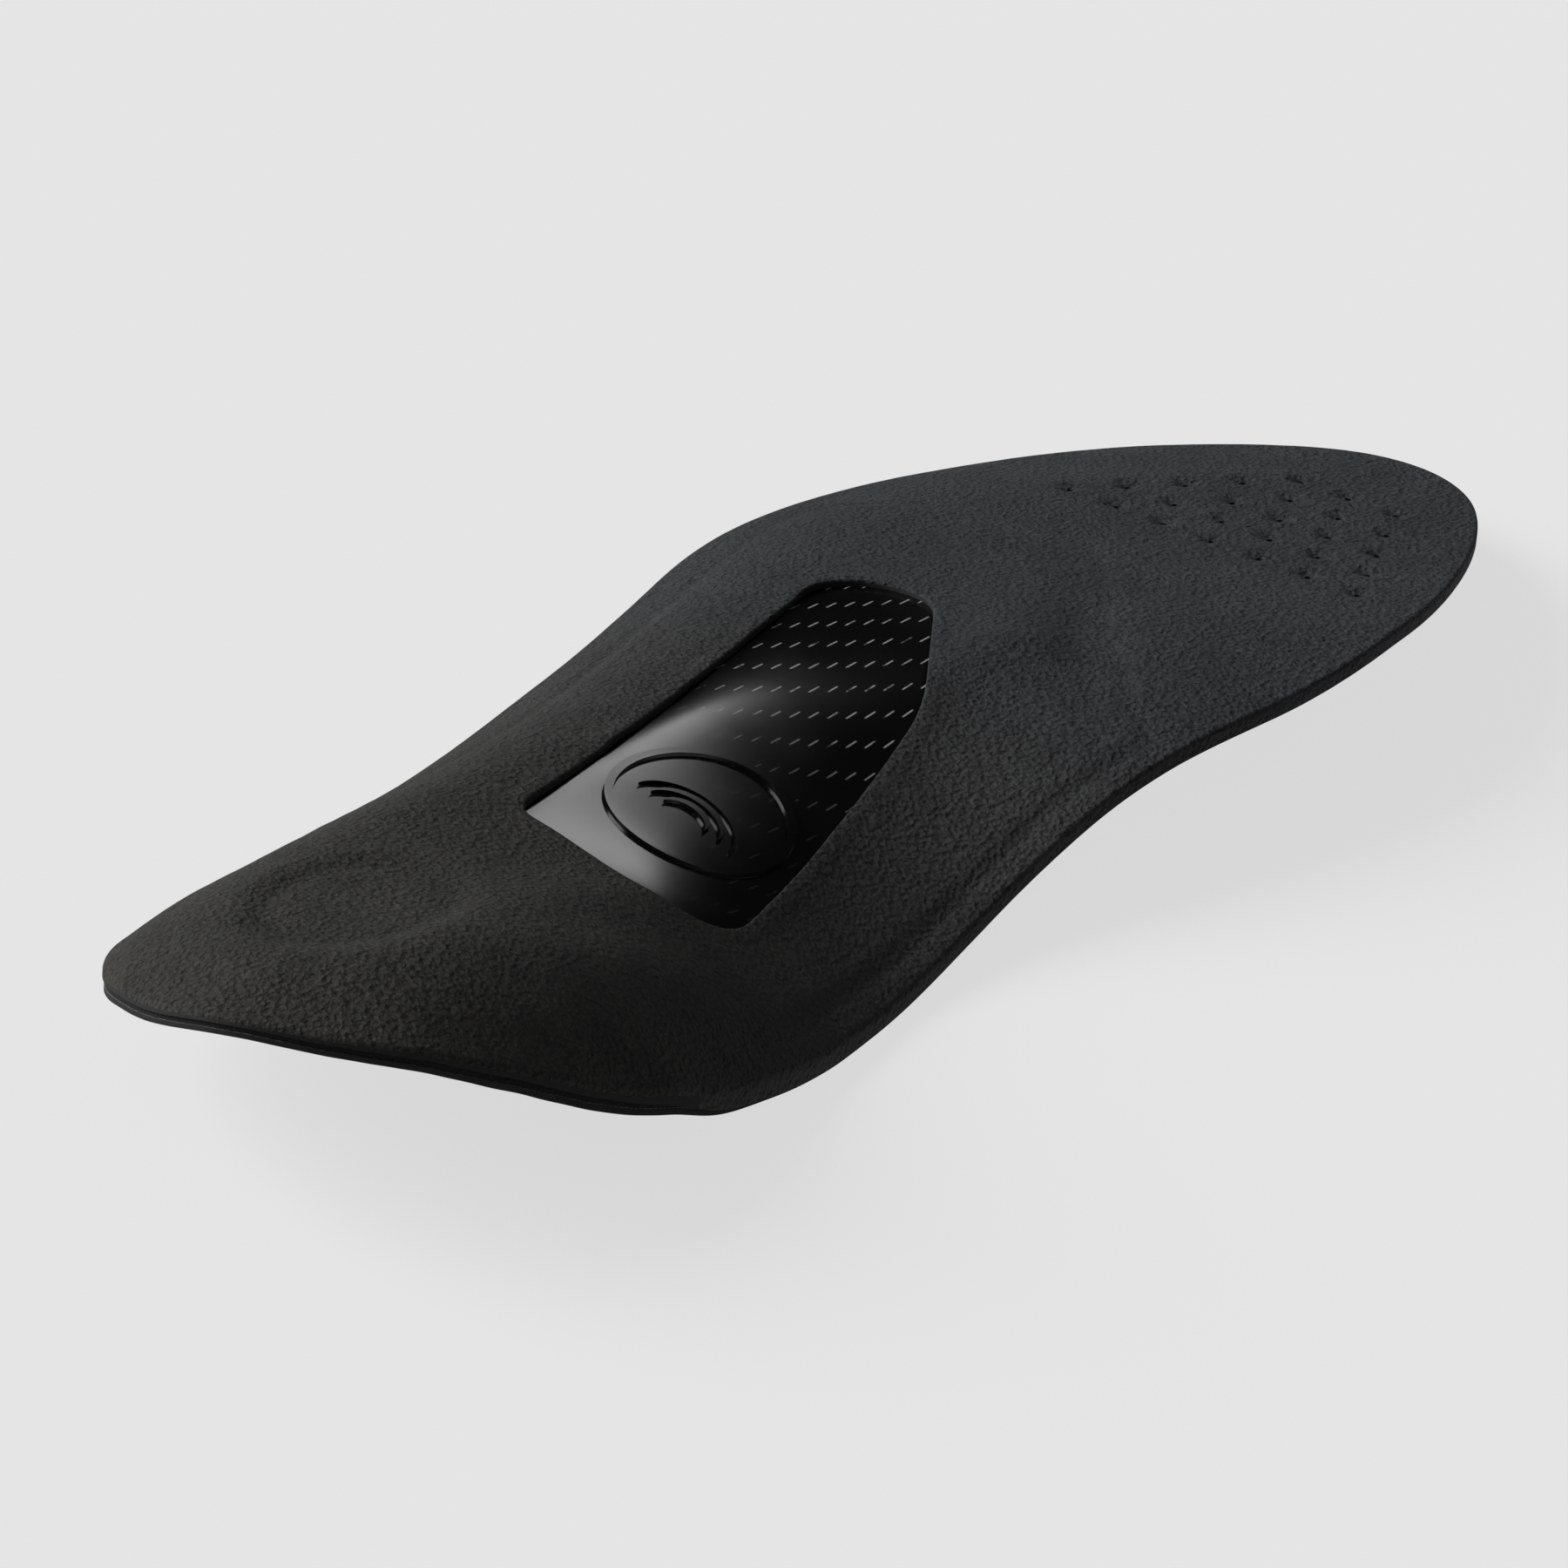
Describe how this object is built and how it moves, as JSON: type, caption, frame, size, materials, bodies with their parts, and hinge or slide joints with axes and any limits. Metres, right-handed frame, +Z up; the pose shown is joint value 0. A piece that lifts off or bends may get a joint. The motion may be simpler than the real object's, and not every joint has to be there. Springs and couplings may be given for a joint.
{
  "type": "insole",
  "caption": "Moulded cushioned insole for a right foot, sole side up, with an arch flange, a heel cup and a window onto its support shell.",
  "frame": {"origin": "middle of the footprint, on the table that the insole lies on upside down", "axes": "+X from the heel to the toe, +Y to the little-toe side, +Z up, out of the sole side"},
  "size_m": [0.2676, 0.0917, 0.028],
  "materials": {
    "microfibre": "matt black grained microfibre",
    "shell": "gloss black woven carbon look",
    "emblem": "gloss black, raised",
    "pad": "soft closed-cell foam",
    "foam": "black open-cell foam, cut edge",
    "top_fabric": "black brushed knit"
  },
  "bodies": {
    "root": {"sole_cover": "microfibre", "support_shell": "shell", "shell_emblem": "emblem", "heel_pad": "pad", "arch_pad": "pad", "ball_pad": "pad", "metatarsal_pad": "pad", "cushion_foam": "foam", "top_cover": "top_fabric"}
  },
  "joints": []
}
